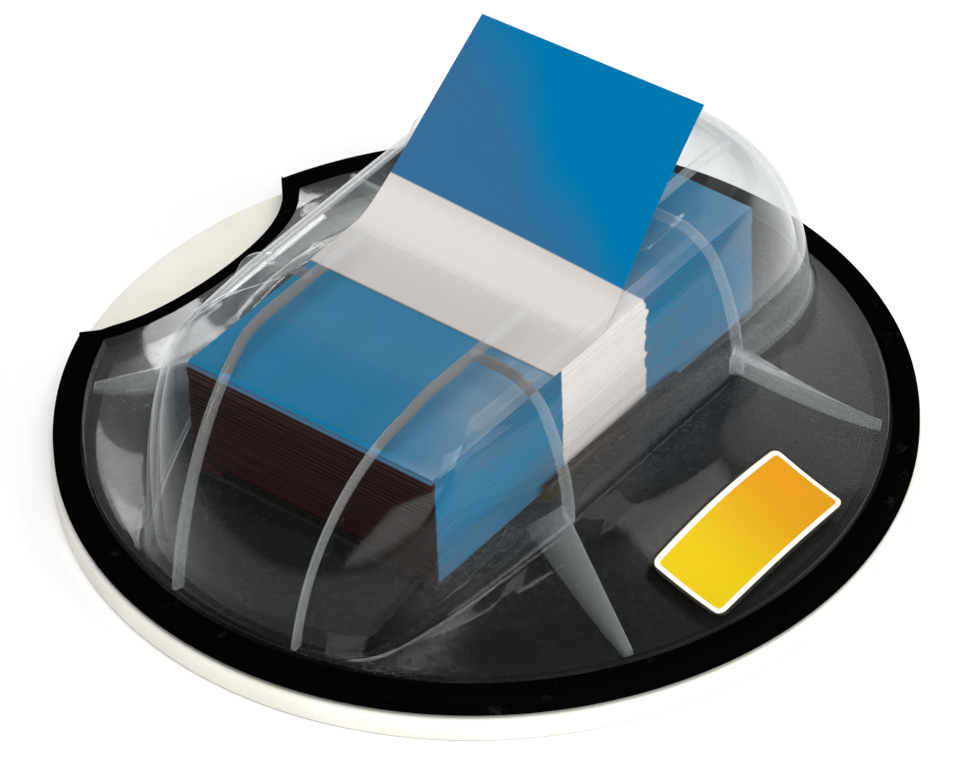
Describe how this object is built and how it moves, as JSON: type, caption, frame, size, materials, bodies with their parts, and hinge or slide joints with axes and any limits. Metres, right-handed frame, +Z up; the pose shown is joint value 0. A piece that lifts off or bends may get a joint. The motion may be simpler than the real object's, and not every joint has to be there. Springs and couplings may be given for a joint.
{
  "type": "desk dispenser of sticky index tabs",
  "caption": "Round desk dispenser with a clear domed cover over a pad of sticky index tabs, one tab standing up through the slot.",
  "frame": {"origin": "middle of the grip pad's underside", "axes": "+Z up, Y along the tabs with the sloping front wall at -Y, the finger notch at -X and the label at +X"},
  "size_m": [0.073, 0.073, 0.0333],
  "materials": {
    "grip_pad": "pale matte foam",
    "base": "black moulded, matte rim",
    "cover": "clear moulded",
    "tab_pad": "film tabs with blue ends",
    "raised_tab": "blue and frosted film",
    "blank_label": "satin printed film"
  },
  "bodies": {
    "root": {"grip_pad": "grip_pad", "base": "base", "cover": "cover", "tab_pad": "tab_pad", "raised_tab": "raised_tab", "blank_label": "blank_label"}
  },
  "joints": []
}
